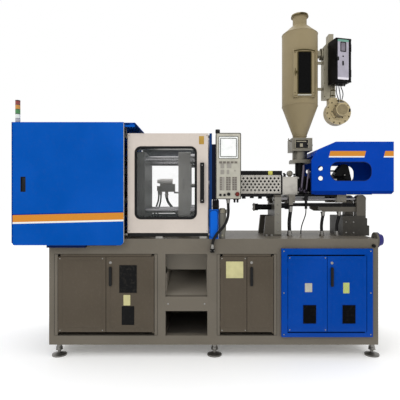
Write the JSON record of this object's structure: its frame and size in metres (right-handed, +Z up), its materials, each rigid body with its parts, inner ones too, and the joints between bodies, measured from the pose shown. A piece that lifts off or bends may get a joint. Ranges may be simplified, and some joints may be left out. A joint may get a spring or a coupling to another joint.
{
  "type": "injection moulding machine",
  "caption": "Horizontal plastic injection moulding machine: cabinet base, sliding clamp guard, windowed gates, control panel, injection carriage and a hopper dryer on top",
  "frame": {"origin": "on the floor, at the middle of the footprint", "axes": "+X along the machine from the clamp end to the injection end, +Y from the operator's side to the back, +Z up"},
  "size_m": [3.936, 1.24, 3.666],
  "materials": {
    "frame_grey": "satin warm grey paint",
    "foot_steel": "turned steel",
    "panel_grey": "satin warm grey paint",
    "cabinet_blue": "semi-gloss blue paint",
    "guard_blue": "semi-gloss blue paint",
    "cover_blue": "semi-gloss blue paint",
    "gate_beige": "satin beige paint",
    "sheet_grey": "satin grey paint",
    "platen_grey": "painted casting",
    "ground_steel": "hard chromed and ground",
    "machined_steel": "machined",
    "black_metal": "black finish",
    "black_plastic": "fine grain",
    "panel_white": "smooth",
    "key_grey": "smooth",
    "stop_red": "glossy",
    "lamp": "translucent tiers",
    "screen": "display glass",
    "clear_pane": "clear sheet",
    "hose_rubber": "smooth outer",
    "hopper_cream": "satin paint",
    "dryer_dark": "satin black paint",
    "duct_grey": "dull sheet",
    "zinc_sheet": "zinc plated sheet"
  },
  "bodies": {
    "machine_base": {"base_frame": "frame_grey", "levelling_feet": "foot_steel", "closing_panels": "panel_grey", "fixed_leaves": "panel_grey", "blue_cabinet_front": "cabinet_blue", "product_chute": "sheet_grey", "hydraulic_unit": "sheet_grey", "electrical_rack": "zinc_sheet", "end_platen": "platen_grey", "clamp_cylinder": "platen_grey", "fixed_platen": "platen_grey", "tie_bars": "ground_steel", "clamp_cover": "guard_blue", "gate_rails": "machined_steel", "gate_portal": "guard_blue", "stack_light": "lamp", "core_pull_valve": "machined_steel", "hydraulic_hoses": "hose_rubber", "interlock_box": "cabinet_blue", "panel_housing": "panel_white", "panel_screen": "screen", "panel_keys": "key_grey", "panel_conduit": "hose_rubber", "injection_supports": "frame_grey", "guide_rods": "ground_steel", "traverse_cylinder": "black_metal", "carriage_hoses": "hose_rubber"},
    "clamp_slide_guard": {"clamp_guard": "guard_blue"},
    "moving_platen_unit": {"moving_platen": "platen_grey", "clamp_ram": "ground_steel"},
    "ejector": {"ejector_bar": "machined_steel"},
    "front_gate_unit": {"front_gate": "gate_beige", "gate_window": "clear_pane", "gate_handle": "black_plastic"},
    "rear_gate_unit": {"rear_gate": "gate_beige", "rear_window": "clear_pane"},
    "left_door": {"left_cabinet_door": "panel_grey"},
    "middle_door": {"middle_cabinet_door": "panel_grey"},
    "blue_door": {"blue_cabinet_door": "cabinet_blue"},
    "left_lever": {"left_door_handle": "black_plastic"},
    "middle_lever": {"middle_door_handle": "black_plastic"},
    "blue_lever": {"blue_door_handle": "black_plastic"},
    "emergency_button": {"stop_button": "stop_red"},
    "selector_knob": {"mode_selector": "black_plastic"},
    "carriage": {"carriage_frame": "black_metal", "barrel": "machined_steel", "barrel_guard": "zinc_sheet", "motor_cover": "cover_blue", "hopper_shell": "hopper_cream", "magnet_box": "duct_grey", "dryer_ducts": "duct_grey", "blower": "hopper_cream", "dryer_box": "dryer_dark", "dryer_cables": "hose_rubber"},
    "injection_drive": {"injection_plate": "machined_steel", "hydraulic_motor": "black_metal"},
    "plasticising_screw": {"screw": "ground_steel"},
    "hopper_hatch": {"hopper_door": "hopper_cream", "sight_glass": "clear_pane"},
    "control_box_door": {"dryer_box_door": "dryer_dark"}
  },
  "joints": [
    {"name": "clamp_guard_slide", "type": "slide", "parent": "machine_base", "child": "clamp_slide_guard", "axis": [1, 0, 0], "range_m": [0, 0.52]},
    {"name": "clamp_stroke", "type": "slide", "parent": "machine_base", "child": "moving_platen_unit", "axis": [1, 0, 0], "range_m": [0, 0.205]},
    {"name": "ejector_stroke", "type": "slide", "parent": "moving_platen_unit", "child": "ejector", "axis": [1, 0, 0], "range_m": [0, 0.05]},
    {"name": "front_gate_slide", "type": "slide", "parent": "machine_base", "child": "front_gate_unit", "axis": [-1, 0, 0], "range_m": [0, 0.6]},
    {"name": "rear_gate_slide", "type": "slide", "parent": "machine_base", "child": "rear_gate_unit", "axis": [-1, 0, 0], "range_m": [0, 0.6]},
    {"name": "left_door_hinge", "type": "hinge", "parent": "machine_base", "child": "left_door", "pos_m": [-0.584, -0.548, 0.6265], "axis": [0, 0, 1], "range_deg": [0, 100]},
    {"name": "middle_door_hinge", "type": "hinge", "parent": "machine_base", "child": "middle_door", "pos_m": [0.61, -0.548, 0.6265], "axis": [0, 0, 1], "range_deg": [0, 100]},
    {"name": "blue_door_hinge", "type": "hinge", "parent": "machine_base", "child": "blue_door", "pos_m": [1.528, -0.577, 0.639], "axis": [0, 0, 1], "range_deg": [0, 100]},
    {"name": "left_lever_turn", "type": "hinge", "parent": "left_door", "child": "left_lever", "pos_m": [-1.0095, -0.556, 0.89], "axis": [0, -1, 0], "range_deg": [0, 90]},
    {"name": "middle_lever_turn", "type": "hinge", "parent": "middle_door", "child": "middle_lever", "pos_m": [0.3985, -0.556, 0.89], "axis": [0, -1, 0], "range_deg": [0, 90]},
    {"name": "blue_lever_turn", "type": "hinge", "parent": "blue_door", "child": "blue_lever", "pos_m": [1.1925, -0.585, 0.89], "axis": [0, -1, 0], "range_deg": [0, 90]},
    {"name": "stop_button_press", "type": "slide", "parent": "machine_base", "child": "emergency_button", "axis": [0, 1, 0], "range_m": [0, 0.006], "stiffness_N_per_m": 800},
    {"name": "selector_turn", "type": "hinge", "parent": "machine_base", "child": "selector_knob", "pos_m": [0.17, -0.56, 1.628], "axis": [0, 1, 0], "range_deg": [-45, 45]},
    {"name": "carriage_traverse", "type": "slide", "parent": "machine_base", "child": "carriage", "axis": [1, 0, 0], "range_m": [-0.075, 0.1], "deforming": ["carriage_hoses"]},
    {"name": "injection_stroke", "type": "slide", "parent": "carriage", "child": "injection_drive", "axis": [-1, 0, 0], "range_m": [0, 0.1]},
    {"name": "screw_turn", "type": "hinge", "parent": "injection_drive", "child": "plasticising_screw", "pos_m": [1.35, 0, 1.735], "axis": [1, 0, 0], "continuous": true},
    {"name": "hopper_hatch_hinge", "type": "hinge", "parent": "carriage", "child": "hopper_hatch", "pos_m": [1.143, -0.208, 2.952], "axis": [0, 0, 1], "range_deg": [0, 100]},
    {"name": "control_box_hinge", "type": "hinge", "parent": "carriage", "child": "control_box_door", "pos_m": [1.55471, -0.12033, 3.11], "axis": [0, 0, 1], "range_deg": [0, 100]}
  ]
}
